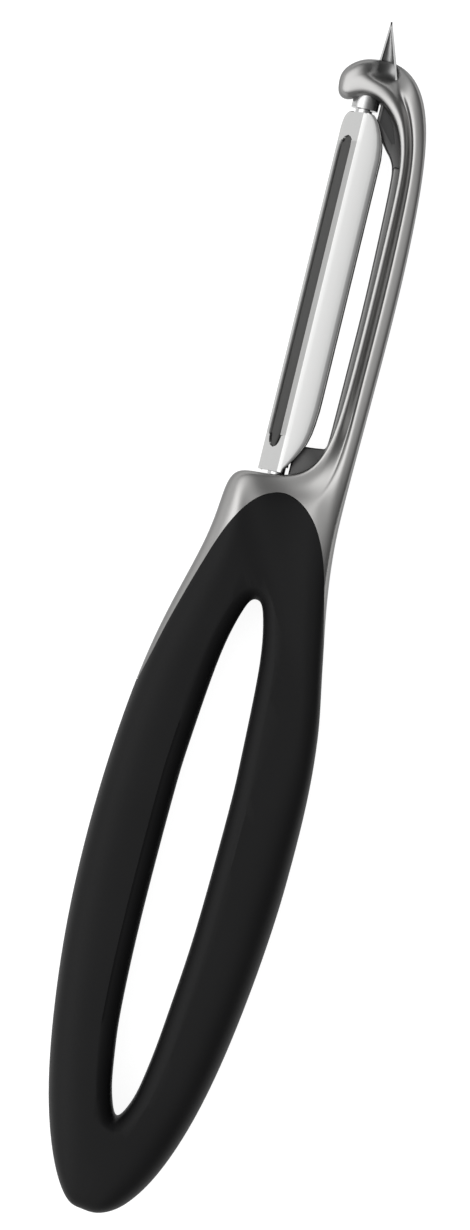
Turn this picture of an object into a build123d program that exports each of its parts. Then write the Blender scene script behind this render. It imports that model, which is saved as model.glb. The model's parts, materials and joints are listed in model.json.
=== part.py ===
from build123d import *
import os
from math import cos, radians, sin, tan

# A straight swivel peeler, lying on its side. It is drawn with the blade's swivel line on x = 0,
# the collar's shoulder on y = 0 and the mid-plane on z = 0: x runs towards the arm, y towards the
# tip of the gouge, z up. At the end all pieces move so that the box's bottom centre is the origin.

# Head
crown_height = 9.0        # end of the blade to the crown of the hook
hook_height = 14.08       # crown of the hook down to where the arm begins
arm_reach = 12.7          # swivel line to the outside of the arm
arm_width = 4.3           # front lip to the outside of the arm
nose_reach = 5.15         # swivel line to the tip of the nose
web_thickness = 3.2
web_overlap = 2.0         # how far the web runs into the arm
head_edge_radius = 1.2

# Half thickness of the metal and the handle along the length
crown_half_thickness = 4.4
arm_half_thickness = 4.7
shoulder_half_thickness = 5.9
grip_half_thickness = 7.0
heel_half_thickness = 6.2
full_thickness_at = 14.0  # shoulder to where the handle is fully thick

# Handle
handle_length = 123.4
handle_half_width = 17.0
handle_offset = 0.7       # middle of the handle to the right of the swivel line
shoulder_radius = 3.0
handle_edge_radius = 4.6
loop_width_share = 4.9 / 17.0    # half the hole of the loop, as a share of handle_half_width
loop_offset = 0.65
loop_top = 20.0           # shoulder to the hole
heel_width = 16.0         # the hole to the end of the handle
loop_edge_share = 3.2 / 17.0     # rounding of the hole, likewise
arch_top = 2.2            # shoulder to the top of the rubber's arch
arch_length = 35.0        # top of the arch to the tips of the horns
arch_half_width = 15.4
arch_offset = 1.15

# Handle core, tang and its pins
core_thickness = 7.0
core_inset = 3.4          # rubber outside the core
core_hole_margin = 3.0    # rubber between the core and the loop's hole
core_arch_gap = 2.6       # rubber between the metal arch and the core
tang_width = 8.0
tang_thickness = 3.0
tang_length = 13.5        # beyond the top of the arch
tang_clearance = 0.05
tang_pin_diameter = 2.5
tang_pin_spacing = 5.0
lock_hole_diameter = 3.0

# Blade
blade_length = 60.7
blade_gap = 0.7           # shoulder to the blade's lower end
blade_web_width = 6.72
blade_web_rise = 1.9      # swivel line to the bends, on the cutting side
blade_edge_lift = 0.25    # the cutting edges stand this much ahead of the bends
blade_flank_depth = 4.18
blade_flank_splay = 26.0  # degrees
blade_sheet = 0.5
blade_slot_width = 3.4
blade_slot_length = 52.3
blade_slot_from_top = 4.3
blade_top_taper = 6.8     # length over which the flanks run out at the top
blade_bottom_taper = 11.5
blade_end_round_top = 0.5
blade_end_round_bottom = 1.2
blade_rest_angle = 28.0   # degrees that the slot is turned up from its neutral place
ear_radius = 2.4
ear_from_end = 1.3

# Pivots
journal_diameter = 2.0
running_clearance = 0.05
pivot_shoulder_diameter = 2.8
rivet_neck_diameter = 1.8
rivet_head_height = 0.7
bush_blade_gap = 0.35
thrust_clearance = 0.15
journal_length = 4.2
journal_end_clearance = 0.4
top_bush_diameter = 4.4
bottom_bush_diameter = 3.3
bush_length = 4.6
pivot_boss_wall = 1.3     # metal round and behind the bottom bush
pin_relief = 0.35         # room round the turning shoulder in the collar

# Eye gouge
gouge_seat_depth = 3.1    # crown of the hook to the floor of its pocket
gouge_height = 9.4
gouge_radius = 1.85
gouge_tip_radius = 0.2
gouge_sheet = 0.45
gouge_x = 1.85            # middle of its base
gouge_lean = 5.5          # degrees
gouge_open_angle = 40.0   # degrees that its open side is turned to the nose

overrun = 5.0             # how far a cutting shape runs past what it cuts

# Places along the length that follow from the sizes
blade_bottom = blade_gap
blade_top = blade_gap + blade_length
top_bush_face = blade_top + bush_blade_gap
bottom_bush_face = blade_bottom - bush_blade_gap
top_ear_outer = blade_top - ear_from_end
bottom_ear_outer = blade_bottom + ear_from_end
head_height = blade_top + crown_height
loop_half_width = handle_half_width * loop_width_share
loop_edge_radius = handle_half_width * loop_edge_share
loop_length = handle_length - loop_top - heel_width

# Outlines, as shares of the sizes named beside them. Heights are shares of head_height,
# from the shoulder up: up to arm_share they stretch with the arm, and above it the hook keeps its size.
arm_share = 0.80
# Outside of the arm and hook: share of arm_reach, share of head_height.
head_outer_shares = [(0.962, -0.11), (0.941, 0.0), (0.961, 0.142), (1.0, 0.44), (0.972, 0.64),
                     (0.90, 0.81), (0.79, 0.895), (0.60, 0.966), (0.28, 1.0), (-0.03, 0.994), (-0.27, 0.975)]
# Nose: share of nose_reach, share of head_height.
nose_shares = [(-0.91, 0.955), (-1.0, 0.925), (-0.90, 0.900), (-0.64, 0.890), (-0.38, 0.897),
               (-0.15, 0.907)]
# Front lip, from the nose round to the shoulder: share of arm_reach less arm_width, share of
# head_height.
lip_shares = [(0.08, 0.909), (0.25, 0.899), (0.46, 0.873), (0.645, 0.844), (0.80, 0.80), (0.90, 0.75),
              (0.96, 0.69), (1.0, 0.55), (1.0, 0.35), (0.96, 0.20), (0.90, 0.12), (0.80, 0.075),
              (0.65, 0.042), (0.45, 0.022), (0.20, 0.011), (-0.10, 0.005), (-0.60, 0.003)]
# Inner side of the web, from the top down: same shares as the lip.
web_shares = [(0.46, 0.90), (0.49, 0.83), (0.56, 0.795), (0.67, 0.788), (0.755, 0.775), (0.80, 0.75),
              (0.83, 0.69), (0.86, 0.57), (0.885, 0.43), (0.88, 0.30), (0.845, 0.17)]
web_foot_shares = [(0.825, 0.10), (0.46, 0.085), (0.46, 0.0)]
# Ends of the blade's flanks: share of blade_flank_depth behind the bend, share of the taper.
blade_top_shares = [(1.0, 1.0), (0.80, 0.47), (0.60, 0.25), (0.32, 0.09), (0.0, 0.0)]
blade_bottom_shares = [(1.0, 1.0), (0.885, 0.60), (0.756, 0.45), (0.517, 0.296), (0.225, 0.14), (0.0, 0.07)]

# Side of the handle: share of handle_half_width from the middle, share of handle_length down.
handle_side_shares = [(-0.475, -0.06), (-0.485, 0.032), (-0.55, 0.097), (-0.697, 0.178), (-0.815, 0.243),
                      (-0.935, 0.365), (-1.0, 0.53), (-0.965, 0.665), (-0.862, 0.794), (-0.706, 0.891),
                      (-0.45, 0.9725), (-0.165, 1.0), (0.124, 0.989), (0.347, 0.956), (0.565, 0.891),
                      (0.759, 0.794), (0.909, 0.665), (0.991, 0.527), (1.0, 0.446), (0.965, 0.324),
                      (0.87, 0.243), (0.768, 0.162), (0.685, 0.081), (0.66, 0.0), (0.655, -0.06)]
# Hole of the loop: share of loop_half_width, share of loop_length down.
loop_shares = [(0.22, 0.0), (0.54, 0.022), (0.83, 0.114), (0.97, 0.286), (0.99, 0.40), (0.857, 0.629),
               (0.60, 0.80), (0.41, 0.892), (0.16, 0.961), (-0.235, 1.0), (-0.57, 0.961), (-0.786, 0.892),
               (-0.94, 0.80), (-1.0, 0.629), (-0.93, 0.40), (-0.816, 0.286), (-0.50, 0.114), (-0.10, 0.022)]
# Arch between metal and rubber, from the left tip over the crown to the right tip, where the metal
# is still thick enough to end bluntly: share of arch_half_width, share of arch_length down.
arch_crown_share = (0.055, 0.0)
arch_left_shares = [(-0.975, 0.98), (-0.87, 0.82), (-0.711, 0.54), (-0.536, 0.28), (-0.40, 0.16),
                    (-0.198, 0.04)]
arch_right_shares = [(0.23, 0.015), (0.38, 0.055), (0.53, 0.16), (0.656, 0.28), (0.78, 0.494),
                     (0.893, 0.794), (0.977, 0.98)]
# Places of the core's lock holes: shares of loop_length down.
lock_hole_shares = [0.40, 0.55, 0.70]
# A face whose normal rises by less than this share of its length is an upright wall.
upright_share = 0.02


def head_point(x_size, share):
    y = (head_height - hook_height) * share[1] / arm_share
    if share[1] > arm_share:
        y = head_height - hook_height * (1 - share[1]) / (1 - arm_share)
    return (x_size * share[0], y)


def handle_point(share, inset):
    x = handle_offset + (handle_half_width - inset) * share[0]
    return (x, -(handle_length - inset) * share[1])


def loop_point(share, margin):
    x = loop_offset + (loop_half_width + margin) * share[0]
    return (x, margin - loop_top - (loop_length + 2 * margin) * share[1])


def arch_point(share):
    return (arch_offset + arch_half_width * share[0], -arch_top - arch_length * share[1])


# A sketch made into a slab through the mid-plane.
def slab(sketch, half_thickness):
    return extrude(Pos(0, 0, -half_thickness) * sketch, 2 * half_thickness)


# Side view of the whole peeler: how thick it is along the length. The handle is flat in its middle,
# so that the peeler lies still.
def side_profile():
    front_y = head_height + overrun
    heel_y = -handle_length - overrun
    flat_start = (-full_thickness_at, grip_half_thickness)
    flat_end = (-loop_top - loop_length, grip_half_thickness)
    head_stations = [(front_y, crown_half_thickness), (head_height / 2, arm_half_thickness),
                     (0, shoulder_half_thickness), flat_start]
    head = Spline(*head_stations, tangents=[(-1, 0), (-1, 0)])
    flat = Line(flat_start, flat_end)
    heel_slope = (flat_end[0], -heel_half_thickness)
    heel = Spline(flat_end, (heel_y, heel_half_thickness), tangents=[(-1, 0), heel_slope])
    upper = Curve() + [head, flat, heel]
    lower = mirror(upper, Plane.XZ)
    ends = [Line((front_y, -crown_half_thickness), (front_y, crown_half_thickness)),
            Line((heel_y, heel_half_thickness), (heel_y, -heel_half_thickness))]
    face = make_face(Curve() + [upper, lower, *ends])
    side_plane = Plane(origin=(-2 * handle_half_width, 0, 0), x_dir=(0, 1, 0), z_dir=(1, 0, 0))
    return extrude(side_plane * face, 4 * handle_half_width)


# Side of the handle from the left of the collar round the heel, run past the shoulder at both ends.
def handle_sketch(inset=0.0):
    side = [handle_point(share, inset) for share in handle_side_shares]
    return make_face(Curve() + [Spline(*side), Line(side[-1], side[0])])


def loop_sketch(margin=0.0):
    points = [loop_point(share, margin) for share in loop_shares]
    return make_face(Spline(*points, periodic=True))


def arch_sketch():
    points = [arch_point(share) for share in [*arch_left_shares, arch_crown_share, *arch_right_shares]]
    foot_y = -handle_length - overrun
    left_x = points[0][0] - handle_half_width
    right_x = points[-1][0] + handle_half_width
    sides = Polyline(points[0], (left_x, points[0][1]), (left_x, foot_y), (right_x, foot_y),
                     (right_x, points[-1][1]), points[-1])
    return make_face(Curve() + [Spline(*points), sides])


# The upright walls of a slab, the largest last.
def walls(solid):
    upright = solid.faces().filter_by(lambda face: abs(face.normal_at().Z) < upright_share)
    return upright.sort_by(SortBy.AREA)


def rims(wall):
    return wall.edges().filter_by(Axis.Z, reverse=True)


# The handle's whole body, metal horns and rubber together, before the arch divides it.
def handle_body():
    blank = slab(handle_sketch(), 2 * grip_half_thickness) & side_profile()
    blank = fillet(rims(walls(blank)[-1]), handle_edge_radius)
    holed = blank - slab(loop_sketch(), 2 * grip_half_thickness)
    return fillet(rims(walls(holed)[-1]), loop_edge_radius)


def head_sketch():
    outer = [head_point(arm_reach, share) for share in head_outer_shares]
    nose = [head_point(nose_reach, share) for share in nose_shares]
    lip = [head_point(arm_reach - arm_width, share) for share in lip_shares]
    foot = (lip[-1][0], outer[0][1])
    ring = Spline(*outer, *nose, *lip)
    rest = Polyline(lip[-1], foot, outer[0])
    return make_face(Curve() + [ring, rest])


def web_sketch():
    inner = [head_point(arm_reach - arm_width, share) for share in web_shares]
    foot = [head_point(arm_reach - arm_width, share) for share in web_foot_shares]
    back_x = arm_reach - arm_width + web_overlap
    edge = Spline(*inner)
    top_back = (foot[-1][0] + web_overlap, inner[0][1])
    rest = Polyline(inner[-1], *foot, (back_x, 0), (back_x, inner[3][1]), top_back, inner[0])
    return make_face(Curve() + [edge, rest])


# Everything below the shoulder, to cut the arm's foot off there.
def below_shoulder():
    block = Rectangle(4 * handle_half_width, handle_length, align=(Align.CENTER, Align.MAX))
    return slab(block, 2 * grip_half_thickness)


def arm_and_hook():
    blank = slab(head_sketch(), 2 * grip_half_thickness) & side_profile()
    return fillet(rims(walls(blank)[-1]), head_edge_radius) - below_shoulder()


# What is cut off the handle's body above the shoulder, with the shoulder's round left corner.
def shoulder_cut():
    left_x = handle_point(handle_side_shares[1], 0)[0]
    block = Rectangle(4 * handle_half_width, 4 * overrun, align=(Align.CENTER, Align.MIN))
    above = Pos(left_x, 0) * block
    side = shoulder_radius + overrun
    corner = Pos(left_x + shoulder_radius, -shoulder_radius)
    square = corner * Rectangle(side, side, align=(Align.MAX, Align.MIN))
    return slab(above + (square - corner * Circle(shoulder_radius)), 2 * grip_half_thickness)


def arch_prism(drop=0.0):
    return slab(Pos(0, -drop) * arch_sketch(), 2 * grip_half_thickness)


# A round bar along y, from y_start to y_end.
def bar(radius, y_start, y_end):
    plane = Plane(origin=(0, y_start, 0), x_dir=(1, 0, 0), z_dir=(0, 1, 0))
    return extrude(plane * Circle(radius), y_end - y_start)


tang_x = arch_point(arch_crown_share)[0]
tang_end = -arch_top - tang_length


def tang(clearance=0.0):
    width = tang_width + 2 * clearance
    length = tang_length + arch_top + clearance
    block = Rectangle(width, length, align=(Align.CENTER, Align.MAX))
    return slab(Pos(tang_x, 0) * block, tang_thickness / 2 + clearance)


# Metal round the bottom bush, under the top of the arch.
def pivot_boss(clearance=0.0):
    end_y = bottom_bush_face - bush_length - pivot_boss_wall - clearance
    return bar(bottom_bush_diameter / 2 + pivot_boss_wall + clearance, end_y, 0)


def tang_pins():
    first = tang_end + tang_pin_diameter
    places = [Pos(tang_x, first + number * tang_pin_spacing) for number in range(2)]
    return slab(Sketch() + [place * Circle(tang_pin_diameter / 2) for place in places], core_thickness / 2)


def lock_holes():
    outer = handle_half_width - core_inset
    inner = loop_half_width + core_hole_margin
    holes = []
    for share in lock_hole_shares:
        y = -loop_top - loop_length * share
        left = (handle_offset - outer + loop_offset - inner) / 2
        right = (handle_offset + outer + loop_offset + inner) / 2
        holes += [Pos(x, y) * Circle(lock_hole_diameter / 2) for x in (left, right)]
    return slab(Sketch() + holes, core_thickness)


def core_blank():
    ring = handle_sketch(core_inset) - loop_sketch(core_hole_margin)
    return slab(ring, core_thickness / 2) & arch_prism(core_arch_gap)


def handle_core():
    return core_blank() - lock_holes() - tang(tang_clearance) - pivot_boss(tang_clearance) - tang_pins()


def grip():
    body = handle_body() & arch_prism()
    return body - (core_blank() - lock_holes()) - tang() - pivot_boss()


# Pivots. A turning pin's places along y, outward from the blade, at both ends.
def pivot_pin(ear_inner, ear_outer, bush_face):
    side = 1 if ear_outer > ear_inner else -1
    head = bar(pivot_shoulder_diameter / 2, ear_inner - side * rivet_head_height, ear_inner)
    neck = bar(rivet_neck_diameter / 2, ear_inner, ear_outer)
    thrust = bush_face - side * thrust_clearance
    shoulder = bar(pivot_shoulder_diameter / 2, ear_outer, thrust)
    journal = bar(journal_diameter / 2, thrust, thrust + side * journal_length)
    return head + neck + shoulder + journal


def pivot_bush(diameter, face, side):
    body = bar(diameter / 2, face, face + side * bush_length)
    depth = journal_length - thrust_clearance + journal_end_clearance
    bore = bar(journal_diameter / 2 + running_clearance, face, face + side * depth)
    return body - bore


# Eye gouge: half of a pointed cone of sheet, standing on the hook's crown.
gouge_seat = Plane(origin=(gouge_x, head_height - gouge_seat_depth, 0), x_dir=(0, 0, 1),
                   z_dir=(-sin(radians(gouge_lean)), cos(radians(gouge_lean)), 0))


def seated_cone(base_radius, tip_radius, height):
    return gouge_seat * Cone(base_radius, tip_radius, height, align=(Align.CENTER, Align.CENTER, Align.MIN))


# The half space that the scoop is open to.
def gouge_front(turn):
    side = 2 * gouge_height
    block = Box(side, side, side, align=(Align.MIN, Align.CENTER, Align.CENTER))
    return gouge_seat * Rot(0, 0, -turn) * block


def eye_gouge():
    outside = seated_cone(gouge_radius, gouge_tip_radius, gouge_height)
    inside = seated_cone(gouge_radius - gouge_sheet, gouge_tip_radius / 2, gouge_height - gouge_sheet)
    return outside - inside - gouge_front(gouge_open_angle)


# The pocket that the scoop stands in: its own cone, open to the front of the hook.
def gouge_pocket():
    block = Box(2 * gouge_height, 2 * gouge_radius, gouge_height, align=(Align.MIN, Align.CENTER, Align.MIN))
    return seated_cone(gouge_radius, gouge_tip_radius, gouge_height) + gouge_seat * block


def head_frame():
    collar = handle_body() - arch_prism() - shoulder_cut()
    metal = arm_and_hook() + collar + slab(web_sketch(), web_thickness / 2)
    metal = metal + tang() + pivot_boss() - tang_pins()
    metal -= bar(top_bush_diameter / 2, top_bush_face, top_bush_face + bush_length)
    metal -= bar(bottom_bush_diameter / 2, bottom_bush_face - bush_length, bottom_bush_face)
    metal -= bar(pivot_shoulder_diameter / 2 + pin_relief, bottom_bush_face, bottom_bush_face + overrun)
    return metal - gouge_pocket()


# Blade, drawn in its neutral place with the slot towards -x, then turned to the photographed one.
def blade_section():
    slope = tan(radians(blade_flank_splay))
    run = blade_flank_depth + overrun
    bend = (-blade_web_rise, blade_web_width / 2)
    edge = (-blade_web_rise - blade_edge_lift, blade_slot_width / 2)
    end = (run - blade_web_rise, blade_web_width / 2 + run * slope)
    upper = [end, bend, edge]
    lower = [(x, -y) for x, y in reversed(upper)]
    outer = make_face(Polyline(*upper, *lower, end))
    sheet = outer - offset(outer, -blade_sheet, kind=Kind.INTERSECTION)
    block = Rectangle(2 * run, 4 * run, align=(Align.MAX, Align.CENTER))
    return sheet & (Pos(blade_flank_depth - blade_web_rise, 0) * block)


def flank_end(shares, end_y, taper):
    return [(blade_flank_depth * share[0] - blade_web_rise, end_y + taper * share[1]) for share in shares]


# Side view of the blade: how the flanks run out at both ends.
def blade_side():
    top = flank_end(blade_top_shares, blade_top, -blade_top_taper)
    bottom = flank_end(blade_bottom_shares, blade_bottom, blade_bottom_taper)
    front_x = -blade_web_rise - overrun
    front = Polyline(top[-1], (front_x, blade_top), (front_x, blade_bottom), (bottom[-1][0], blade_bottom),
                     bottom[-1])
    outline = Curve() + [Spline(*top), Spline(*bottom), Line(top[0], bottom[0]), front]
    return slab(make_face(outline), blade_web_width + blade_flank_depth)


# Front view of the blade: its rounded ends.
def blade_front():
    half = blade_web_width / 2
    reach = half + blade_flank_depth
    top_y = blade_top - blade_end_round_top
    bottom_y = blade_bottom + blade_end_round_bottom
    top = ThreePointArc((top_y, -half), (blade_top, 0), (top_y, half))
    bottom = ThreePointArc((bottom_y, half), (blade_bottom, 0), (bottom_y, -half))
    right = Polyline((top_y, half), (top_y, reach), (bottom_y, reach), (bottom_y, half))
    left = Polyline((bottom_y, -half), (bottom_y, -reach), (top_y, -reach), (top_y, -half))
    plane = Plane(origin=(-overrun, 0, 0), x_dir=(0, 1, 0), z_dir=(1, 0, 0))
    return extrude(plane * make_face(Curve() + [top, bottom, right, left]), 2 * overrun)


def blade_slot():
    centre = blade_top - blade_slot_from_top - blade_slot_length / 2
    plane = Plane(origin=(-overrun, centre, 0), x_dir=(0, 1, 0), z_dir=(1, 0, 0))
    return extrude(plane * SlotOverall(blade_slot_length, blade_slot_width), overrun)


def blade_ear(y_low):
    plane = Plane(origin=(0, y_low, 0), x_dir=(1, 0, 0), z_dir=(0, 1, 0))
    plate = Rectangle(blade_web_rise, 2 * ear_radius, align=(Align.MAX, Align.CENTER)) + Circle(ear_radius)
    return extrude(plane * (plate - Circle(rivet_neck_diameter / 2)), blade_sheet)


def blade():
    plane = Plane(origin=(0, blade_bottom - overrun, 0), x_dir=(1, 0, 0), z_dir=(0, 1, 0))
    channel = extrude(plane * blade_section(), blade_length + 2 * overrun)
    channel = channel & blade_side() & blade_front()
    channel -= blade_slot()
    return channel + blade_ear(bottom_ear_outer) + blade_ear(top_ear_outer - blade_sheet)


def turned(shape):
    return Rot(0, blade_rest_angle, 0) * shape


pieces = {
    "head_frame": head_frame(),
    "eye_gouge": eye_gouge(),
    "top_pivot_bush": pivot_bush(top_bush_diameter, top_bush_face, 1),
    "bottom_pivot_bush": pivot_bush(bottom_bush_diameter, bottom_bush_face, -1),
    "blade": turned(blade()),
    "top_pivot_pin": turned(pivot_pin(top_ear_outer - blade_sheet, top_ear_outer, top_bush_face)),
    "bottom_pivot_pin": turned(pivot_pin(bottom_ear_outer + blade_sheet, bottom_ear_outer, bottom_bush_face)),
    "handle_core": handle_core(),
    "tang_pins": tang_pins(),
    "grip": grip(),
}

boxes = [shape.bounding_box() for shape in pieces.values()]
middle_x = (min(box.min.X for box in boxes) + max(box.max.X for box in boxes)) / 2
middle_y = (min(box.min.Y for box in boxes) + max(box.max.Y for box in boxes)) / 2
lowest_z = min(box.min.Z for box in boxes)
to_origin = Pos(-middle_x, -middle_y, -lowest_z)

os.makedirs("parts", exist_ok=True)
for name, shape in pieces.items():
    placed = to_origin * shape
    export_step(placed, "parts/" + name + ".step")
    print(name, len(placed.solids()), round(placed.volume, 1))
print("swivel line at", -middle_x, -lowest_z, "and shoulder at", -middle_y)
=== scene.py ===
# %% [markdown]
# # A swivel peeler with a rubber loop handle
# A satin metal hook carries a swivelling blade, and its collar runs out into two horns along a soft
# rubber loop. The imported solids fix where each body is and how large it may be. This file dresses
# them: it models the visible pieces again with softer, truer forms, gives each one its finish, and
# lights the scene.

import json
from math import cos, exp, hypot, pi, radians, sin, sqrt

import bpy
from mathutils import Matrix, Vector


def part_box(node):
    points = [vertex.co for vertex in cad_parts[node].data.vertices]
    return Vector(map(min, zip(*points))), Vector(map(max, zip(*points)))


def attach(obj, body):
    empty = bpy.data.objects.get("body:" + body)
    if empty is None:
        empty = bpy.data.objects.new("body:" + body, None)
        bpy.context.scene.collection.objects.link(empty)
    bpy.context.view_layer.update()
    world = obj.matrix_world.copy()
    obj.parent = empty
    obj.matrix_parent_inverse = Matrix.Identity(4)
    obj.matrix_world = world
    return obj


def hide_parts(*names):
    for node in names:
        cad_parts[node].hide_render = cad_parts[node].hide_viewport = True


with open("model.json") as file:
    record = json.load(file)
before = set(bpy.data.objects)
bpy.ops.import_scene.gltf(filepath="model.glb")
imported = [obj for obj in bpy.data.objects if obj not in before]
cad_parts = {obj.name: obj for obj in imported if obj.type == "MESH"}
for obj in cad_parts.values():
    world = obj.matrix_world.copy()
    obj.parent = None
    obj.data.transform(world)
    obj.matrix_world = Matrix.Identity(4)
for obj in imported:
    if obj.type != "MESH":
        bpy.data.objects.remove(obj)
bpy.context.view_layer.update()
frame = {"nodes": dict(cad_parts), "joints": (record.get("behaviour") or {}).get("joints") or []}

# %% [markdown]
# All places below are in millimetres from the swivel line (x), the collar's shoulder (y) and the
# mid-plane (z), because that is how a peeler is measured. One helper turns them into the frame's
# metres. The swivel line is read from the blade's joint. The shoulder is read from the solid blade's
# lower end, which stands a little above it.

# %% Millimetres on the peeler to metres in the frame
FOOT_GAP = 0.0007
swivel = Vector(frame["joints"][0]["pos_m"])
SHOULDER_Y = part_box("blade")[0].y - FOOT_GAP


def at(x, y, z=0.0):
    return Vector((swivel.x + x / 1000, SHOULDER_Y + y / 1000, swivel.z + z / 1000))


print("shoulder of the collar at", at(0, 0)[:])

# %% [markdown]
# The hole, the arch and the web have soft outlines through a few measured points. A curve object
# could draw them, but it would need handles at each point. A short routine that reads its direction
# at each point from the two neighbours needs the points alone, and fills in between them.

# %% A smooth line through a few points
def smooth_line(points, steps, closed=False):
    count = len(points)
    line = []
    for i in range(count if closed else count - 1):
        if closed:
            p = [points[(i + k) % count] for k in (-1, 0, 1, 2)]
        else:
            p = [points[min(max(i + k, 0), count - 1)] for k in (-1, 0, 1, 2)]
        for step in range(steps):
            t = step / steps
            line.append(tuple(
                0.5 * (2 * b + (c - a) * t + (2 * a - 5 * b + 4 * c - d) * t * t
                       + (3 * b - a - 3 * c + d) * t ** 3)
                for a, b, c, d in zip(*p)))
    if not closed:
        line.append(tuple(points[-1]))
    return line


print("four points fill in to", len(smooth_line([(0, 0), (1, 1), (2, 1), (3, 0)], 5)), "points")

# %% [markdown]
# Operators act on whatever is selected, and the imported solids come in selected, so each piece
# starts from a clean slate. A modifier is applied as soon as it is set, so that every mesh is final
# before it is cut, joined or dressed.

# %% Clean slate, joining, modifiers and smooth shading
def nothing_selected():
    if bpy.context.mode != "OBJECT":
        bpy.ops.object.mode_set(mode="OBJECT")
    bpy.ops.object.select_all(action="DESELECT")


def only(piece):
    nothing_selected()
    piece.select_set(True)
    bpy.context.view_layer.objects.active = piece


def join(keeper, *others):
    only(keeper)
    for piece in others:
        piece.select_set(True)
    bpy.ops.object.join()


def apply_modifier(piece, kind, **settings):
    only(piece)
    modifier = piece.modifiers.new(kind.title(), kind)
    for name, value in settings.items():
        setattr(modifier, name, value)
    bpy.ops.object.modifier_apply(modifier=modifier.name)


def shade_smooth(piece, angle):
    only(piece)
    bpy.ops.object.shade_smooth_by_angle(angle=radians(angle))
    print(piece.name, "has", len(piece.data.polygons), "faces")


nothing_selected()
print(len(bpy.context.selected_objects), "objects selected")

# %% [markdown]
# A primitive here is often no more than a net of vertices that is laid on measured points. Its size
# doesn't matter then, and its faces are turned outwards once they are in place.

# %% Lay a net on its points
NET_SIZE = 0.01


def lay_out(name, points):
    piece = bpy.context.active_object
    piece.name = name
    piece.data.vertices.foreach_set("co", [value for point in points for value in at(*point)])
    return piece


def turn_outwards():
    bpy.ops.mesh.select_all(action="SELECT")
    bpy.ops.mesh.normals_make_consistent(inside=False)
    bpy.ops.object.mode_set(mode="OBJECT")


# %% [markdown]
# A body whose cross-section changes along its length is a loft. It could be drawn out of a cube and
# sculpted, but then no section would have a set size. A grid primitive has one row of vertices for
# each section instead: its rows are laid on the sections, its long sides are merged into a tube, and
# both ends are filled.

# %% Loft through rings of points
SAME_PLACE = 1e-7


def loft(name, rings):
    nothing_selected()
    bpy.ops.mesh.primitive_grid_add(x_subdivisions=len(rings[0]), y_subdivisions=len(rings) - 1,
                                    size=NET_SIZE)
    piece = lay_out(name, [point for ring in rings for point in (*ring, ring[0])])
    bpy.ops.object.mode_set(mode="EDIT")
    bpy.ops.mesh.select_all(action="SELECT")
    bpy.ops.mesh.remove_doubles(threshold=SAME_PLACE)
    bpy.ops.mesh.select_all(action="DESELECT")
    bpy.ops.mesh.select_non_manifold(extend=False)
    bpy.ops.mesh.fill_holes(sides=0)
    turn_outwards()
    return piece


def cut(piece, cutter, operation="DIFFERENCE"):
    apply_modifier(piece, "BOOLEAN", object=cutter, operation=operation, solver="EXACT")
    bpy.data.objects.remove(cutter)


# %% [markdown]
# On the real peeler one casting forms the hook, the arm and the collar, and the rubber lies flush
# in it, so metal and rubber share one flowing outside. Two pieces modelled apart would never line up
# along their joint, so it is modelled as one body and divided afterwards. Its cross-section changes
# from a round nose through a hook and an arm with a raised front and a hollow behind it, to the
# saddle of the collar and the full round of the handle. Each profile gives the height, as a share of
# the thickness, at distances in millimetres from the inner or left side, and then from the outer or
# right side.

# %% Profiles across the body
NOSE = ([(0, 0), (0.1, 0.42), (0.35, 0.70), (0.75, 0.87), (1.3, 0.95), (1.95, 0.985), (2.6, 1.0),
         (3.1, 1.0), (3.4, 1.0)],
        [(2.6, 1.0), (1.9, 0.985), (1.25, 0.94), (0.7, 0.84), (0.3, 0.63), (0.08, 0.33), (0, 0)])
OPEN_HOOK = ([(0, 0), (0.05, 0.48), (0.16, 0.77), (0.42, 0.91), (0.85, 0.965), (1.5, 0.99), (2.2, 1.0),
              (2.85, 0.93), (3.6, 0.80)],
             [(2.1, 0.64), (1.5, 0.57), (1.0, 0.51), (0.6, 0.45), (0.3, 0.36), (0.08, 0.2), (0, 0)])
HOOK = ([(0, 0), (0.04, 0.45), (0.13, 0.74), (0.35, 0.88), (0.8, 0.955), (1.35, 1.0), (1.85, 0.94),
         (2.4, 0.82), (2.95, 0.71)],
        [(3.35, 0.95), (2.75, 0.975), (1.95, 0.97), (1.2, 0.94), (0.55, 0.87), (0.12, 0.60), (0, 0)])
ARM = ([(0, 0), (0.02, 0.60), (0.05, 0.87), (0.13, 0.955), (0.4, 0.987), (0.85, 0.99), (1.12, 0.92),
        (1.55, 0.81), (1.98, 0.715)],
       [(2.44, 0.85), (2.38, 0.99), (1.65, 0.988), (0.9, 0.979), (0.42, 0.96), (0.1, 0.87), (0, 0)])
COLLAR = ([(0, 0), (0.05, 0.50), (0.15, 0.77), (0.4, 0.83), (0.9, 0.82), (1.6, 0.80), (2.5, 0.79),
           (3.6, 0.84), (5.2, 0.95)],
          [(4.0, 1.0), (2.7, 0.99), (1.7, 0.97), (0.95, 0.93), (0.4, 0.85), (0.1, 0.62), (0, 0)])
HUMP = ([(0, 0), (0.05, 0.54), (0.18, 0.80), (0.42, 0.92), (0.8, 0.97), (1.5, 0.995), (2.4, 1.0),
         (3.6, 0.985), (5.5, 0.97)],
        [(4.0, 1.0), (2.7, 0.99), (1.7, 0.97), (0.95, 0.93), (0.4, 0.85), (0.1, 0.62), (0, 0)])
SHOULDER = ([(0, 0), (0.1, 0.33), (0.35, 0.53), (0.8, 0.69), (1.4, 0.81), (2.1, 0.90), (3.0, 0.975),
             (4.2, 1.0), (6.2, 0.98)],
            [(4.0, 1.0), (2.7, 0.99), (1.7, 0.95), (0.95, 0.88), (0.4, 0.76), (0.1, 0.50), (0, 0)])
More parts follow.
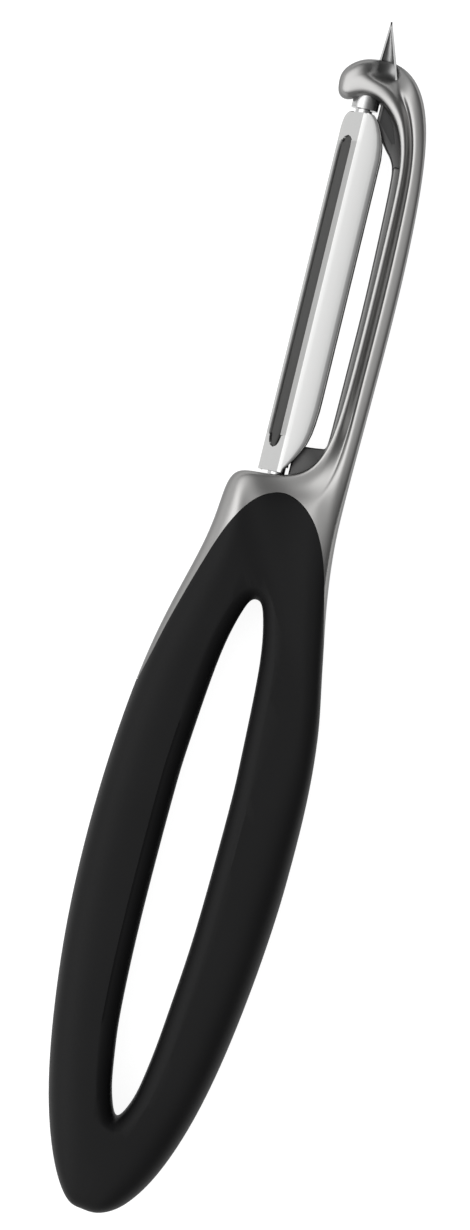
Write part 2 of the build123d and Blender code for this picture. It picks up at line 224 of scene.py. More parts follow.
HANDLE = ([(0, 0), (0.12, 0.32), (0.5, 0.56), (1.1, 0.73), (2.0, 0.86), (3.1, 0.94), (4.4, 0.98),
           (6.0, 0.995), (8.0, 1.0)],
          [(8.0, 1.0), (5.6, 0.99), (4.0, 0.97), (2.6, 0.91), (1.4, 0.79), (0.4, 0.52), (0, 0)])
PROFILES = [NOSE, OPEN_HOOK, HOOK, ARM, COLLAR, HUMP, SHOULDER, HANDLE]
print(len(PROFILES), "profiles of", len(NOSE[0]) + len(NOSE[1]), "points")

# %% [markdown]
# Each section is a line across the body: its left or inner end, its right or outer end, the profile
# it has there (2.5 is halfway from the third to the fourth), and how full it is, which closes the
# nose and the heel.

# %% Sections of the body, from the nose to the heel
SECTIONS = [
    (-5.05, 64.5, -5.14, 65.9, 0, 0.34), (-4.75, 63.4, -4.95, 66.9, 0, 0.56),
    (-4.05, 62.8, -4.4, 67.9, 0, 0.70), (-3.1, 62.65, -3.4, 68.9, 0, 0.78),
    (-1.9, 63.15, -2.0, 69.75, 0.1, 0.86), (-0.6, 63.75, -0.4, 70.15, 0.45, 0.93),
    (0.8, 63.9, 1.7, 70.4, 1, 0.98), (2.3, 63.35, 4.1, 70.2, 1.3, 1), (4.1, 61.95, 6.9, 68.6, 1.75, 1),
    (5.75, 59.9, 9.3, 65.2, 2.15, 1), (6.95, 57.1, 10.85, 60.3, 2.55, 1),
    (7.75, 53.7, 11.65, 55.3, 2.85, 1), (8.0, 49.6, 12.15, 50.0, 3, 1), (8.08, 44.5, 12.45, 44.5, 3, 1),
    (8.12, 38.0, 12.65, 38.0, 3, 1), (8.13, 31.0, 12.68, 31.0, 3, 1), (8.1, 24.5, 12.6, 24.0, 3, 1),
    (8.02, 18.5, 12.45, 17.0, 3, 1), (7.85, 13.5, 12.3, 10.5, 3.1, 1), (7.55, 9.4, 12.13, 4.5, 3.3, 1),
    (6.95, 6.4, 12.03, -1.5, 3.6, 1), (6.05, 4.1, 12.02, -7.5, 3.85, 1), (4.7, 2.35, 12.5, -13.5, 4, 1),
    (2.9, 1.25, 13.3, -19.5, 4, 1), (0.7, 0.65, 14.3, -25.0, 4.15, 1),
    (-1.7, 0.35, 15.15, -29.8, 4.55, 1), (-4.1, 0.25, 15.95, -34.0, 5, 1),
    (-6.0, -0.05, 16.6, -37.6, 5.4, 1), (-7.2, -1.35, 17.0, -41.0, 5.85, 1),
    (-7.7, -3.9, 17.3, -44.5, 6, 1), (-7.95, -7.6, 17.52, -48.0, 6.1, 1),
    (-8.6, -12.0, 17.65, -52.0, 6.3, 1), (-9.9, -17.2, 17.68, -56.5, 6.5, 1),
    (-11.5, -23.0, 17.6, -61.5, 6.7, 1), (-13.1, -29.8, 17.45, -67.0, 6.9, 1),
    (-14.45, -38.0, 17.0, -73.5, 7, 1), (-15.5, -48.0, 16.3, -80.5, 7, 1),
    (-16.15, -59.0, 15.35, -88.0, 7, 1), (-16.28, -70.0, 14.15, -95.5, 7, 1),
    (-15.9, -80.0, 12.65, -102.5, 7, 1), (-15.1, -89.0, 10.95, -108.4, 7, 1),
    (-13.9, -98.2, 9.1, -113.3, 7, 1), (-12.3, -106.4, 7.1, -117.3, 7, 1),
    (-10.3, -113.0, 5.0, -120.2, 7, 0.99), (-8.2, -118.0, 3.2, -121.9, 7, 0.95),
    (-6.1, -121.3, 1.3, -122.9, 7, 0.82), (-4.3, -122.9, -0.6, -123.35, 7, 0.48),
]
print(len(SECTIONS), "sections")

# %% [markdown]
# From the side the head is slim, and the body thickens through the collar to the handle. The side
# view gives half of its thickness at places along the length, with straight lines between them. The
# subdivision that follows softens those.

# %% Side view of the body
SIDE_VIEW = [(71, 4.4), (35, 4.7), (18, 4.9), (6, 5.1), (0, 5.5), (-5, 6.35), (-12, 6.9), (-22, 7.0),
             (-100, 7.0), (-110, 6.85), (-124, 6.2)]


def half_thickness(y):
    for (y0, h0), (y1, h1) in zip(SIDE_VIEW, SIDE_VIEW[1:]):
        if y >= y1:
            t = min(max((y0 - y) / (y0 - y1), 0), 1)
            return h0 + (h1 - h0) * t
    return SIDE_VIEW[-1][1]


print("the arm is", 2 * half_thickness(35), "mm thick and the handle", 2 * half_thickness(-60))

# %% [markdown]
# A profile's distances are square to the body's side. Where a side runs at a slant to the section,
# they are stretched along the section, up to a limit. Where the section is narrow they are squeezed,
# so that both sides fit in with a little room. Between two profiles the points go over from one to
# the other.

# %% Profiles fitted to a section
LEAST_SLANT = 0.3
ROOM = 0.98


def slant(ends, i, across):
    before, after = ends[max(i - 1, 0)], ends[min(i + 1, len(ends) - 1)]
    along = Vector((after[0] - before[0], after[1] - before[1])).normalized()
    return max(abs(along.x * across.y - along.y * across.x), LEAST_SLANT)


def profile_at(key):
    low = min(int(key), len(PROFILES) - 2)
    t = key - low
    return [[(d0 + (d1 - d0) * t, h0 + (h1 - h0) * t) for (d0, h0), (d1, h1) in zip(*sides)]
            for sides in zip(PROFILES[low], PROFILES[low + 1])]


# %% [markdown]
# The gouge stands in a soft hollow in the front of the hook. A cutter would leave a sharp edge there,
# so the points of the rings are lowered instead, most in the middle and less towards its rim.

# %% Hollow for the gouge
HOLLOW_X, HOLLOW_Y = 2.1, 69.9
HOLLOW_WIDE, HOLLOW_LONG, HOLLOW_DEEP, HOLLOW_FLOOR = 2.0, 2.7, 4.5, 0.3


def hollowed(x, y, z):
    aside, away = (x - HOLLOW_X) / HOLLOW_WIDE, (y - HOLLOW_Y) / HOLLOW_LONG
    return max(z - HOLLOW_DEEP * exp(-aside ** 4 - away ** 4), min(z, HOLLOW_FLOOR))


print("at its middle the hook's front is lowered to", hollowed(HOLLOW_X, HOLLOW_Y, 4.4), "mm")

# %% [markdown]
# A ring runs over the front of a section and returns over its back, which mirrors the front but has
# no hollow. The loft through the rings is subdivided twice, which rounds the steps between them.

# %% The body
def body_ring(i):
    lx, ly, rx, ry, key, full = SECTIONS[i]
    width = hypot(rx - lx, ry - ly)
    across = Vector((rx - lx, ry - ly)) / width
    left, right = profile_at(key)
    left = [(d / slant([s[0:2] for s in SECTIONS], i, across), h) for d, h in left]
    right = [(d / slant([s[2:4] for s in SECTIONS], i, across), h) for d, h in right]
    squeeze = min(1, ROOM * width / (left[-1][0] + right[0][0]))
    stops = [(d * squeeze, h) for d, h in left] + [(width - d * squeeze, h) for d, h in right]
    upper = []
    for d, height in stops:
        x, y = lx + across.x * d, ly + across.y * d
        upper.append((x, y, half_thickness(y) * full * height))
    lower = [(x, y, -z) for x, y, z in upper[-2:0:-1]]
    return [(x, y, hollowed(x, y, z)) for x, y, z in upper] + lower


body = loft("body", [body_ring(i) for i in range(len(SECTIONS))])
apply_modifier(body, "SUBSURF", levels=2, render_levels=2)
shade_smooth(body, 60)

# %% [markdown]
# The finger hole has softly rounded rims. It could be cut straight and its edges bevelled, but the
# body's faces are curved there, and the bevel's width would wander. A spool, which widens towards
# both faces, cuts the hole and leaves the rounding in one step.

# %% The loop's hole
HOLE = [(1.1, 0.0), (2.65, -1.9), (4.1, -10.0), (4.75, -25.0), (4.85, -35.0), (4.2, -55.0),
        (2.95, -69.9), (2.0, -78.0), (0.8, -84.0), (-1.15, -87.4), (-2.8, -84.0), (-3.85, -78.0),
        (-4.6, -69.9), (-4.9, -55.0), (-4.55, -35.0), (-4.0, -25.0), (-2.45, -10.0), (-0.5, -1.9)]
HOLE_X, HOLE_TOP = 0.65, -20.0
RIM, HANDLE_HALF = 3.0, 7.0


def hole_ring(margin, z):
    outline = smooth_line(HOLE, 6, closed=True)
    grown = []
    for i, (x, y) in enumerate(outline):
        x0, y0 = outline[i - 1]
        x1, y1 = outline[(i + 1) % len(outline)]
        long = hypot(x1 - x0, y1 - y0)
        grown.append((HOLE_X + x - margin * (y1 - y0) / long, HOLE_TOP + y + margin * (x1 - x0) / long, z))
    return grown


spool = [(RIM * (1 - cos(radians(turn))), HANDLE_HALF - RIM + RIM * sin(radians(turn)))
         for turn in (0, 20, 40, 60, 75, 84)]
spool += [(RIM + 0.3, HANDLE_HALF + 0.6)]
levels = [(margin, -z) for margin, z in reversed(spool)] + [(0.0, 0.0)] + spool
cut(body, loft("hole_cutter", [hole_ring(margin, z) for margin, z in levels]))
shade_smooth(body, 50)

# %% [markdown]
# The rubber ends in a high arch under the collar. The same upright cutter, outlined by that arch,
# takes the rubber's part out of the body for the metal. Laid a hair lower, it keeps that part for the
# rubber, so that a fine joint shows.

# %% The arch between metal and rubber
ARCH = [(-14.0, -37.0), (-13.0, -33.1), (-11.5, -27.1), (-9.75, -21.0), (-8.25, -16.2), (-7.05, -12.6),
        (-5.95, -9.8), (-4.8, -7.5), (-3.6, -5.65), (-2.25, -4.1), (-0.75, -3.0), (0.85, -2.35),
        (2.4, -2.2), (3.95, -2.6), (5.5, -3.45), (7.0, -4.75), (8.4, -6.5), (9.6, -8.65), (10.6, -11.0),
        (11.5, -13.8), (12.35, -17.2), (13.1, -20.5), (13.8, -23.5), (14.7, -26.5)]
PAST_SIDE, PAST_HEEL, PAST_FACE = 24, -130, 9
JOINT_GAP = 0.12


def arch_cutter(drop):
    outline = [(x, y - drop) for x, y in smooth_line(ARCH, 6)]
    outline += [(PAST_SIDE, outline[-1][1]), (PAST_SIDE, PAST_HEEL), (-PAST_SIDE, PAST_HEEL),
                (-PAST_SIDE, outline[0][1])]
    return loft("arch_cutter", [[(x, y, z) for x, y in outline] for z in (-PAST_FACE, PAST_FACE)])


grip = body.copy()
grip.data = body.data.copy()
bpy.context.scene.collection.objects.link(grip)
grip.name = "rubber_grip"
cut(grip, arch_cutter(JOINT_GAP), "INTERSECT")
head = body
head.name = "metal_head"
cut(head, arch_cutter(0.0))
shade_smooth(grip, 40)
shade_smooth(head, 40)

# %% [markdown]
# A flat plate is modelled from its outline: a filled circle is laid on the outline, drawn up to its
# thickness and bevelled. A cube cut to shape would need a cutter for each side.

# %% A plate from its outline
def plate(name, outline, z0, z1, edge=0.0, segments=3):
    nothing_selected()
    bpy.ops.mesh.primitive_circle_add(vertices=len(outline), radius=NET_SIZE, fill_type="NGON")
    piece = lay_out(name, [(x, y, z0) for x, y in outline])
    bpy.ops.object.mode_set(mode="EDIT")
    bpy.ops.mesh.select_all(action="SELECT")
    bpy.ops.mesh.extrude_region_move(TRANSFORM_OT_translate={"value": (0, 0, (z1 - z0) / 1000)})
    turn_outwards()
    if edge:
        apply_modifier(piece, "BEVEL", width=edge / 1000, segments=segments, angle_limit=radians(50))
    return piece


# %% [markdown]
# A thin web of the same casting runs down inside the arm and frames the blade. Along the arm it
# thickens to a wall with rounded edges, which is a second plate. A shallow window is cut in the front
# of the web under the hook. The web is thin enough for the blade to swing past it.

# %% The web inside the arm
WEB = [(2.45, 64.2), (2.45, 61.6), (2.5, 59.7), (3.6, 57.9), (5.0, 56.1), (6.0, 54.9), (6.7, 53.2),
       (7.0, 49.6), (7.25, 40.0), (7.38, 30.0), (7.3, 21.0), (7.2, 12.0), (7.12, 8.0), (6.85, 6.6),
       (6.2, 6.35), (4.6, 6.15), (3.0, 6.0), (2.1, 5.6), (1.95, 4.6), (1.95, 0.1)]
WEB_BACK = [(9.6, 0.1), (10.2, 20.0), (10.4, 40.0), (9.6, 54.0), (7.6, 60.0), (5.4, 64.0)]
WALL = [(6.75, 53.6), (7.02, 49.6), (7.27, 40.0), (7.4, 30.0), (7.32, 21.0), (7.22, 12.0), (7.14, 8.0)]
WALL_BACK = [(9.0, 8.0), (9.6, 20.0), (9.7, 40.0), (8.9, 53.6)]
WINDOW = [(2.9, 62.9), (2.95, 60.2), (5.6, 57.2), (6.15, 57.4), (5.2, 60.2), (3.9, 62.2)]
WEB_HALF, WALL_HALF, WINDOW_FLOOR, PAST_WEB = 1.15, 2.9, 0.5, 4.0
web = plate("web", smooth_line(WEB, 5) + WEB_BACK, -WEB_HALF, WEB_HALF, edge=0.3)
wall = plate("wall", smooth_line(WALL, 5) + WALL_BACK, -WALL_HALF, WALL_HALF, edge=1.0, segments=4)
cut(web, plate("window", WINDOW, WINDOW_FLOOR, PAST_WEB))
join(web, wall)
web.name = "inner_web"
shade_smooth(web, 40)

# %% [markdown]
# The blade is a strip of spring steel folded to a channel, with a long slot. It could be cut from a
# block, but a folded sheet is equally thick all over, so it is modelled as the sheet it is. These are
# its measures. Each run gives a share of the full form at distances from an end: the flanks rise over
# the top run and the bottom run, and the second flank has a rounded corner at the top. Between the
# steps the lips of the slot stand forward, where they are ground.

# %% Measures of the blade
REST_TURN = radians(28)
BLADE_TOP, BLADE_BOTTOM = 60.95, 0.95
SLOT_TOP, SLOT_BOTTOM, SLOT_RADIUS, LEAST_SLOT = 57.1, 4.8, 2.0, 0.02
STEP_TOP, STEP_BOTTOM, STEP_FORWARD = 56.1, 7.0, 0.22
TOP_RUN = [(0.0, 0.0), (0.25, 0.28), (0.9, 0.46), (1.7, 0.60), (3.2, 0.80), (4.9, 0.93), (6.8, 1.0)]
BOTTOM_RUN = [(0.0, 0.0), (0.8, 0.05), (1.6, 0.225), (3.4, 0.517), (5.2, 0.756), (6.9, 0.885),
              (9.2, 0.96), (11.5, 1.0)]
CORNER = [(0.0, 0.42), (0.2, 0.60), (0.5, 0.75), (1.0, 0.88), (1.7, 0.96), (2.6, 1.0)]
FLANK = [(2.6, 4.25), (2.54, 4.52), (2.40, 4.71), (2.18, 4.81), (1.9, 4.785), (1.45, 4.60),
         (0.9, 4.345), (0.0, 3.918), (-0.8, 3.512), (-1.1, 3.36)]
BEND = (-1.55, 3.13)
print("the slot is", round(SLOT_TOP - SLOT_BOTTOM, 2), "mm long")

# %% [markdown]
# A folded section runs from one flank's free edge round the bend to the slot, and on over the other
# lip to the other flank, which mirrors the first.

# %% One folded section
def share_on(run, distance):
    for (d0, s0), (d1, s1) in zip(run, run[1:]):
        if distance <= d1:
            return s0 + (s1 - s0) * (distance - d0) / (d1 - d0)
    return 1.0


def slot_half(y):
    end = min(SLOT_TOP - y, y - SLOT_BOTTOM)
    return sqrt(max(SLOT_RADIUS ** 2 - max(SLOT_RADIUS - end, 0) ** 2, 0)) if end > 0 else 0.0


def blade_row(y):
    depth = min(share_on(TOP_RUN, BLADE_TOP - y), share_on(BOTTOM_RUN, y - BLADE_BOTTOM))
    (x0, z0), (x1, z1) = FLANK[-1], BEND
    half = [(x0 + (x - x0) * depth, z0 + (z - z0) * depth) for x, z in FLANK] + [BEND]
    step = STEP_FORWARD if STEP_BOTTOM < y < STEP_TOP else 0.0
    lip = max(slot_half(y), LEAST_SLOT)
    half += [(x1 - step * t, z1 + (lip - z1) * t) for t in (0.35, 0.7, 1.0)]
    narrow = share_on(CORNER, BLADE_TOP - y)
    return half + [(x, -z * narrow) for x, z in reversed(half)]


print("the slot is", 2 * slot_half(30), "mm wide")

# %% [markdown]
# A grid is the flat strip: its columns are laid on the folded section and its rows on the length,
# close together where the form changes. At rest the blade is turned about the swivel line.

# %% The strip, folded and turned
rows = [BLADE_BOTTOM + d for d in (0.0, 0.3, 0.65, 1.0, 1.4, 2.3, 3.15, 3.85, 4.15, 4.55, 4.95, 5.5, 6.0)]
rows += [STEP_BOTTOM + 0.04, 8.2, 9.9, 12.2] + [14 + 36 * t / 8 for t in range(9)]
rows += [52.5, 54.1, 55.1, STEP_TOP - 0.02, STEP_TOP + 0.02, 56.5, 56.85, 57.1, 57.7, 58.4, 59.25, 59.95,
         60.2, 60.45, 60.7, BLADE_TOP]
sections = [blade_row(y) for y in rows]
columns = len(sections[0])
nothing_selected()
bpy.ops.mesh.primitive_grid_add(x_subdivisions=columns - 1, y_subdivisions=len(rows) - 1, size=NET_SIZE)
blade = lay_out("steel_blade", [
    (x * cos(REST_TURN) + z * sin(REST_TURN), y, z * cos(REST_TURN) - x * sin(REST_TURN))
    for y, section in zip(rows, sections) for x, z in section])
print("the strip has", len(rows), "rows of", columns, "points")

# %% [markdown]
# The faces of the middle column are deleted where the slot is. Solidify gives the sheet its
# thickness, and a fine bevel takes the sharpness off its edges, so that they catch the light.

# %% Slot and thickness
A_HAIR = 0.01
BLADE_SHEET, BLADE_EDGE = 0.5, 0.08
bpy.ops.object.mode_set(mode="EDIT")
bpy.ops.mesh.select_all(action="DESELECT")
bpy.ops.object.mode_set(mode="OBJECT")
middle = columns // 2 - 1
for face in blade.data.polygons:
    row, column = divmod(face.index, columns - 1)
    in_slot = SLOT_BOTTOM - A_HAIR <= rows[row] and rows[row + 1] <= SLOT_TOP + A_HAIR
    face.select = column == middle and in_slot
bpy.ops.object.mode_set(mode="EDIT")
bpy.ops.mesh.select_mode(type="FACE")
bpy.ops.mesh.delete(type="FACE")
turn_outwards()
apply_modifier(blade, "SOLIDIFY", thickness=BLADE_SHEET / 1000, offset=0)
apply_modifier(blade, "BEVEL", width=BLADE_EDGE / 1000, segments=2, angle_limit=radians(68))
shade_smooth(blade, 30)
ends = [vertex.co.y for vertex in blade.data.vertices]
print("the blade is", round(1000 * (max(ends) - min(ends)), 1), "mm long")

# %% [markdown]
# The ears carry the blade on its two pins. Each is a tab bent in from the sheet with a round end: a
# disc round the pin and a flat block that reaches back to the sheet.

# %% Ears of the blade
EAR_SHEET, EAR_RADIUS = 0.5, 1.7
TAB_DEEP, TAB_WIDE, TAB_BACK = 1.7, 3.2, 0.75
EAR_PLACES = (2.0, 59.6)


def ear(y_low):
    y = y_low + EAR_SHEET / 2
    nothing_selected()
    bpy.ops.mesh.primitive_cylinder_add(vertices=40, radius=EAR_RADIUS / 1000, depth=EAR_SHEET / 1000,
                                        location=at(0, y), rotation=(pi / 2, 0, 0))
    disc = bpy.context.active_object
    bpy.ops.mesh.primitive_cube_add(
        size=0.001, location=at(-TAB_BACK * cos(REST_TURN), y, TAB_BACK * sin(REST_TURN)),
        rotation=(0, REST_TURN, 0), scale=(TAB_DEEP, EAR_SHEET, TAB_WIDE))
    join(disc, bpy.context.active_object)
    bpy.ops.object.transform_apply()
    return disc


join(blade, *[ear(y_low) for y_low in EAR_PLACES])
shade_smooth(blade, 30)

# %% [markdown]
# The eye gouge is half of a slim pointed cone, like a tiny apple corer. It could be lofted as well,
# but a cone primitive without ends, cut through its axis, is the same form in two steps. Solidify
# makes it sheet.

# %% Eye gouge
LEAN, OPEN = radians(7.6), radians(20)
SEAT_RISE, GOUGE_HEIGHT, GOUGE_RADIUS, GOUGE_TIP, GOUGE_SHEET = 0.9, 9.4, 2.0, 0.12, 0.3
seat = Vector((2.2, 67.3))
nothing_selected()
bpy.ops.mesh.primitive_cone_add(
    vertices=72, radius1=GOUGE_RADIUS / 1000, radius2=GOUGE_TIP / 1000, depth=GOUGE_HEIGHT / 1000,
    end_fill_type="NOTHING", rotation=(-pi / 2, 0, LEAN),
    location=at(seat.x - sin(LEAN) * GOUGE_HEIGHT / 2, seat.y + cos(LEAN) * GOUGE_HEIGHT / 2, SEAT_RISE))
gouge = bpy.context.active_object
gouge.name = "eye_scoop"
bpy.ops.object.transform_apply()
bpy.ops.object.mode_set(mode="EDIT")
bpy.ops.mesh.select_all(action="SELECT")
bpy.ops.mesh.bisect(plane_co=at(seat.x, seat.y, SEAT_RISE), clear_outer=True,
                    plane_no=(-sin(OPEN) * cos(LEAN), -sin(OPEN) * sin(LEAN), cos(OPEN)))
bpy.ops.object.mode_set(mode="OBJECT")
apply_modifier(gouge, "SOLIDIFY", thickness=GOUGE_SHEET / 1000, offset=-1)
shade_smooth(gouge, 40)

# %% [markdown]
# ## Finishes
# Shader maths reads best as plain expressions. One small class wraps a socket, adds a Math node for
# each operator, and finds the other outputs of its node by name.

# %% Expressions on sockets
class Wire:
    def __init__(self, finish, socket):
        self.finish, self.socket = finish, socket

    def output(self, name):
        return Wire(self.finish, self.socket.node.outputs[name])

    def maths(self, operation, *values):
        return self.finish.node("ShaderNodeMath", {"operation": operation}, *values)

    def __add__(self, other): return self.maths("ADD", self, other)
    def __radd__(self, other): return self.maths("ADD", other, self)
    def __sub__(self, other): return self.maths("SUBTRACT", self, other)
    def __rsub__(self, other): return self.maths("SUBTRACT", other, self)
    def __mul__(self, other): return self.maths("MULTIPLY", self, other)
    def __rmul__(self, other): return self.maths("MULTIPLY", other, self)
    def __lt__(self, other): return self.maths("LESS_THAN", self, other)
    def __gt__(self, other): return self.maths("GREATER_THAN", self, other)
    def __abs__(self): return self.maths("ABSOLUTE", self)


# %% [markdown]
# One method makes any other node from its type, its settings, and the values or wires of its
# sockets. Every pattern starts from the object's own coordinates in millimetres, so its scale can be
# read as marks per millimetre, and it stays on the piece when the blade swings.

# %% Nodes of a finish
def grey(value):
    return (value, value, value, 1)


class Finish:
    def __init__(self, owner):
        owner.use_nodes = True
        self.tree = owner.node_tree
        self.owner = owner

    def node(self, kind, settings=None, *values, **named):
        made = self.tree.nodes.new(kind)
        for name, value in (settings or {}).items():
            setattr(made, name, value)
        for socket, value in zip(made.inputs, values):
            self.feed(socket, value)
        for name, value in named.items():
            self.feed(made.inputs[name], value)
        return Wire(self, made.outputs[0])

    def feed(self, socket, value):
        if isinstance(value, Wire):
            self.tree.links.new(value.socket, socket)
        else:
            socket.default_value = value

    def split(self, vector):
        parts = self.node("ShaderNodeSeparateXYZ", None, vector)
        return [parts.output(axis) for axis in "XYZ"]

    def ramp(self, value, stops):
        wire = self.node("ShaderNodeValToRGB", None, value)
        elements = wire.socket.node.color_ramp.elements
        while len(elements) < len(stops):
            elements.new(0.5)
        for element, (place, tone) in zip(elements, stops):
            element.position = place
            element.color = (*tone, 1) if isinstance(tone, tuple) else grey(tone)
        return wire

    def place(self, stretch=(1, 1, 1)):
        spot = self.node("ShaderNodeTexCoord").output("Object")
        return self.node("ShaderNodeMapping", None, spot, Scale=tuple(1000 * s for s in stretch))

    def noise(self, stretch, scale, detail=3.0):
        return self.node("ShaderNodeTexNoise", None, Vector=self.place(stretch), Scale=scale, Detail=detail)


# %% [markdown]
# Every finish of a piece is one Principled surface. Its numbers are set on its own sockets, and
# what changes over the piece is fed to colour, roughness and bump, which a later bake can keep.

# %% Surfaces
def surface(finish, **sockets):
    shader = finish.tree.nodes["Principled BSDF"]
    for socket, value in sockets.items():
        finish.feed(shader.inputs[socket.replace("_", " ")], value)


def principled(name, **sockets):
    finish = Finish(bpy.data.materials.new(name))
    surface(finish, **sockets)
    return finish


def bump(finish, height, strength, distance):
    relief = finish.node("ShaderNodeBump", None, Strength=strength, Distance=distance, Height=height)
    surface(finish, Normal=relief)
    print(finish.owner.name, "has", len(finish.tree.nodes), "nodes")


# %% [markdown]
# The casting has a satin finish: bead-blasted steel with a very fine grain. Its colour carries painted shade:
# it darkens towards the mid-plane, so the sides and the recesses look shaded and the faces that stand out
# look lit. The web, deep between them, gets a darker copy of the finish, which is painted shade as well.

# %% Satin metal, with painted shade towards the mid-plane
def satin_metal(name, low, high):
    finish = principled(name, Metallic=1.0, Specular_Tint=grey(0.5))
    grain = finish.noise((1, 1, 1), scale=3.2, detail=2.0)
    cloud = finish.noise((1, 1, 1), scale=0.16, detail=2.0)
    # Painted shade: the distance from the mid-plane drives the base colour, darker on the sides and in the
    # recesses, lighter on the faces that stand out.
    height = abs(finish.split(finish.place())[2] - swivel.z * 1000)
    surface(finish, Roughness=0.30 + 0.05 * grain + 0.05 * cloud,
            Base_Color=finish.ramp(height * 0.13 + 0.06 * cloud,
                                   [(0.1, low), (0.62, (high, high * 0.99, high * 0.975))]))
    bump(finish, grain, strength=0.12, distance=0.00002)
    return finish


satin = satin_metal("satin_metal", low=0.22, high=0.30)
# The web's copy is painted shade: the same finish, darker all over, for its place deep inside the arm.
painted_shade_satin = satin_metal("dark_satin_metal", low=0.05, high=0.15)

# %% [markdown]
# The blade is rolled strip, polished along its length. Its two lips are ground across, so they are duller
# than the flanks. Its inside gets a dark colour, which is painted shade. The finish has to tell these parts
# from one another, so it turns the place back to the folded section and compares it with the blade's own
# measures: the front in the middle, the lips between the steps, and the inside behind the flanks.

# %% Parts of the blade
FRONT_HALF, FRONT_DEEP, INSIDE_DEEP = 3.3, -1.6, -1.58
FLANK_COS, FLANK_SIN, FLANK_AWAY = 0.902, 0.432, 3.493
steel = principled("blade_steel", Metallic=1.0)
x, y, z = steel.split(steel.place())
x, z, along = x - swivel.x * 1000, z - swivel.z * 1000, y - SHOULDER_Y * 1000
across = abs(x * sin(REST_TURN) + z * cos(REST_TURN))
deep = x * cos(REST_TURN) - z * sin(REST_TURN)
front = (across < FRONT_HALF) * (deep < FRONT_DEEP)
lip_mask = front * (along > STEP_BOTTOM) * (along < STEP_TOP)
# Painted shade: the inside mask darkens the channel's inside in the base colour, and also makes it rougher.
inside = (deep > INSIDE_DEEP) * (FLANK_COS * across - FLANK_SIN * deep < FLANK_AWAY)
print("the masks take", len(steel.tree.nodes), "nodes")

# %% [markdown]
# Marks that are long one way come from noise that is stretched: rolled along the blade, ground across its
# lips. The ramp gives each part its tone: flanks, front, lips and the inside, whose dark tone is painted
# shade.

# %% Blade steel
rolled = steel.noise((9, 0.25, 9), scale=1.0)
ground = steel.noise((0.6, 8, 0.6), scale=1.0, detail=2.0)
# The ramp's last stop, the inside's dark tone, is painted shade.
surface(steel, Roughness=0.15 + 0.06 * rolled + lip_mask * (0.12 + 0.08 * ground) + 0.2 * inside,
        Base_Color=steel.ramp(0.3 * front + 0.3 * lip_mask + inside + 0.1 * rolled, [
            (0.0, (0.74, 0.74, 0.735)), (0.1, (0.71, 0.71, 0.705)), (0.3, (0.47, 0.47, 0.466)),
            (0.4, (0.44, 0.44, 0.436)), (0.6, (0.38, 0.38, 0.376)), (0.7, (0.35, 0.35, 0.346)),
            (1.0, (0.115, 0.115, 0.113))]))
bump(steel, rolled * (1 - lip_mask) + ground * lip_mask, strength=0.08, distance=0.00002)

# %% [markdown]
# Pins and bushes are bright turned steel, and the gouge is duller pressed steel. All have faint tool
# marks: rings round the pins and bushes, and lines along the gouge.

# %% Turned and pressed steel
def plain_steel(name, tone, rough, stretch):
    finish = principled(name, Metallic=1.0)
    marks = finish.noise(stretch, scale=1.0)
    surface(finish, Roughness=rough + 0.08 * marks,
            Base_Color=finish.ramp(marks, [(0.25, tone), (0.75, tone + 0.06)]))
    bump(finish, marks, strength=0.08, distance=0.00002)
    return finish


pin_steel = plain_steel("polished_steel", tone=0.40, rough=0.14, stretch=(1, 9, 1))
gouge_steel = plain_steel("gouge_steel", tone=0.19, rough=0.36, stretch=(7, 0.4, 7))
bush_steel = plain_steel("bush_steel", tone=0.36, rough=0.2, stretch=(1, 6, 1))

# %% [markdown]
# The grip is soft black rubber, dull, with the fine even grain of its mould and a trace of uneven
# wear. The core inside it is plain plastic, faintly swirled along its length.

# %% Rubber and the hidden core
rubber = principled("grip_rubber", Specular_IOR_Level=0.14)
mould = rubber.noise((1, 1, 1), scale=3.5, detail=2.0)
handling = rubber.noise((1, 1, 1), scale=0.05, detail=2.0)
surface(rubber, Roughness=0.50 + 0.12 * mould + 0.08 * handling,
        Base_Color=rubber.ramp(handling, [(0.3, (0.0024, 0.0024, 0.0026)), (0.7, (0.0036, 0.0036, 0.0038))]))
bump(rubber, mould, strength=0.15, distance=0.00003)

core = principled("core_plastic")
swirl = core.noise((1, 0.2, 1), scale=0.4)
surface(core, Roughness=0.5 + 0.1 * swirl, Base_Color=core.ramp(swirl, [(0.3, 0.05), (0.7, 0.065)]))
print("core_plastic has", len(core.tree.nodes), "nodes")

# %% [markdown]
# Every piece, new or carried over, gets its finish. A new one also rides on its body, and the solid it
# replaces is hidden.

# %% Put the pieces on their bodies
def dress(piece, finish):
    piece.data.materials.clear()
    piece.data.materials.append(finish.owner)


for piece, finish, slot, body_name, node in [
        (head, satin, "satin_metal", "frame", "head_frame"),
        (web, painted_shade_satin, "satin_metal", "frame", "head_frame"),
        (grip, rubber, "grip_rubber", "frame", "grip"),
        (gouge, gouge_steel, "gouge_steel", "frame", "eye_gouge"),
        (blade, steel, "blade_steel", "blade", "blade")]:
    dress(piece, finish)
    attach(piece, body_name)
    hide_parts(node)
for node, finish, slot in [
        ("top_pivot_pin", pin_steel, "polished_steel"), ("bottom_pivot_pin", pin_steel, "polished_steel"),
        ("top_pivot_bush", bush_steel, "polished_steel"), ("bottom_pivot_bush", bush_steel, "polished_steel"),
        ("tang_pins", pin_steel, "polished_steel"), ("handle_core", core, "core_plastic")]:
    dress(frame["nodes"][node], finish)

# %% [markdown]
# ## Floor, light and camera
# The peeler lies on plain white. A white table lit as brightly as that would throw light up at the
# metal, so the table's own colour is dim, and it has a glow that only the camera, reflections and
# glass see. It still takes the peeler's shadow.

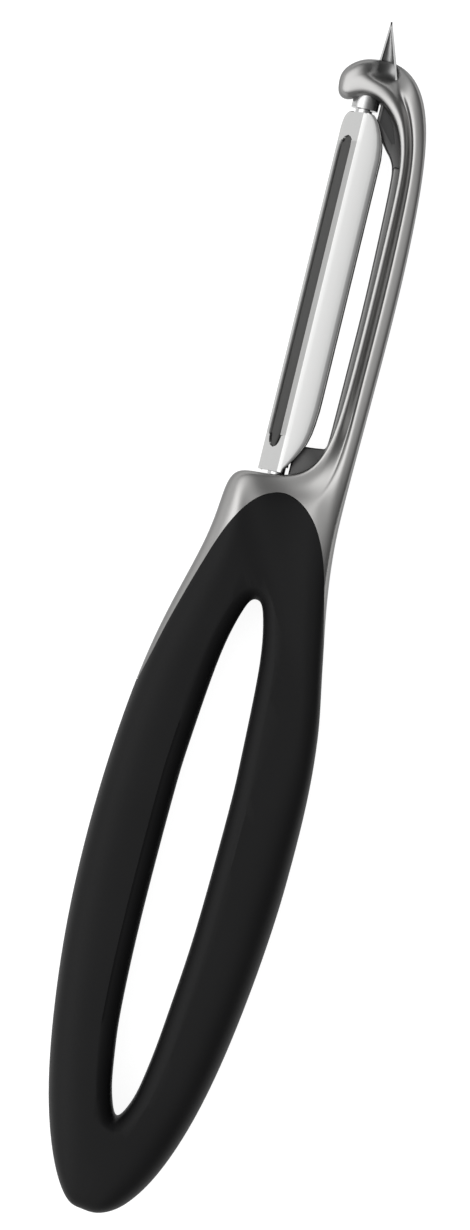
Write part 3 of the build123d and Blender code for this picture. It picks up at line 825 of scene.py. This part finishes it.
# %% Table
TABLE_DROP = 0.00003
nothing_selected()
bpy.ops.mesh.primitive_plane_add(size=4, location=(0, 0, -TABLE_DROP))
table = bpy.context.active_object
table.name = "table"
paper = principled("white_table", Base_Color=grey(0.22), Roughness=0.9, Specular_IOR_Level=0.0)
rays = paper.node("ShaderNodeLightPath")
seen = rays.output("Is Camera Ray") + rays.output("Is Glossy Ray") + rays.output("Is Transmission Ray")
surface(paper, Emission_Color=grey(1.0), Emission_Strength=seen * 0.90)
table.data.materials.append(paper.owner)
print("the table lies at", round(table.location.z * 1000, 3), "mm")

# %% [markdown]
# A studio for shiny metal is a bright ceiling with dark surroundings, which gives satin steel its
# bright and dark bands. It could be built from cards and lamps, but the world's colour by direction
# does the same with nothing to stand in the way of other views. The ramp goes from the dark side to
# the bright one.

# %% Ceiling light by direction
SKY = [(0.30, 0.14), (0.5, 0.22), (0.735, 0.36), (0.775, 0.52), (0.80, 0.74), (0.84, 0.95), (0.87, 1.1),
       (0.90, 1.6), (0.95, 2.8)]
world = bpy.context.scene.world or bpy.data.worlds.new("studio")
bpy.context.scene.world = world
sky = Finish(world)
east, north, up = sky.split(sky.node("ShaderNodeTexCoord").output("Generated"))
facing = 0.5 + 0.37 * up - 0.325 * east - 0.045 * north + 0.1 * north * north
background = sky.tree.nodes["Background"]
sky.feed(background.inputs["Color"], sky.ramp(facing, SKY))
sky.feed(background.inputs["Strength"], 1.0)
print("the ceiling has", len(SKY), "levels, from", SKY[0][1], "to", SKY[-1][1])

# %% [markdown]
# A large soft lamp above fills the shadows and shows the rubber's form. It is kept out of
# reflections, so that it puts no spot on the steel.

# %% Soft fill
bpy.ops.object.light_add(type="AREA", location=(0.1, 0.1, 1.3))
lamp = bpy.context.active_object
lamp.name = "soft_fill"
lamp.data.shape = "SQUARE"
lamp.data.size = 1.4
lamp.data.energy = 9.0
lamp.visible_glossy = False
print("the lamp gives", lamp.data.energy, "W")

# %% [markdown]
# The photograph looks straight down. The long axis leans 13.65 degrees to the right of upright, and
# the whole frame is 200.5 mm tall at the peeler's middle. The camera stands far enough away that
# little of the sides shows.

# %% Camera
LEAN_IN_VIEW = radians(13.65)
MIDDLE, MIDDLE_HEIGHT = (-0.00175, 0.00012), 0.007
FRAME_HEIGHT, DISTANCE, SENSOR = 0.2005, 0.9, 36
bpy.ops.object.camera_add(location=(*MIDDLE, MIDDLE_HEIGHT + DISTANCE), rotation=(0, 0, LEAN_IN_VIEW))
camera = bpy.context.active_object
camera.data.sensor_width = SENSOR
camera.data.lens = SENSOR * DISTANCE / FRAME_HEIGHT
camera.data.clip_end = 10
bpy.context.scene.camera = camera
bpy.context.scene.view_settings.view_transform = "Standard"
print("the camera's lens is", round(camera.data.lens, 1), "mm")
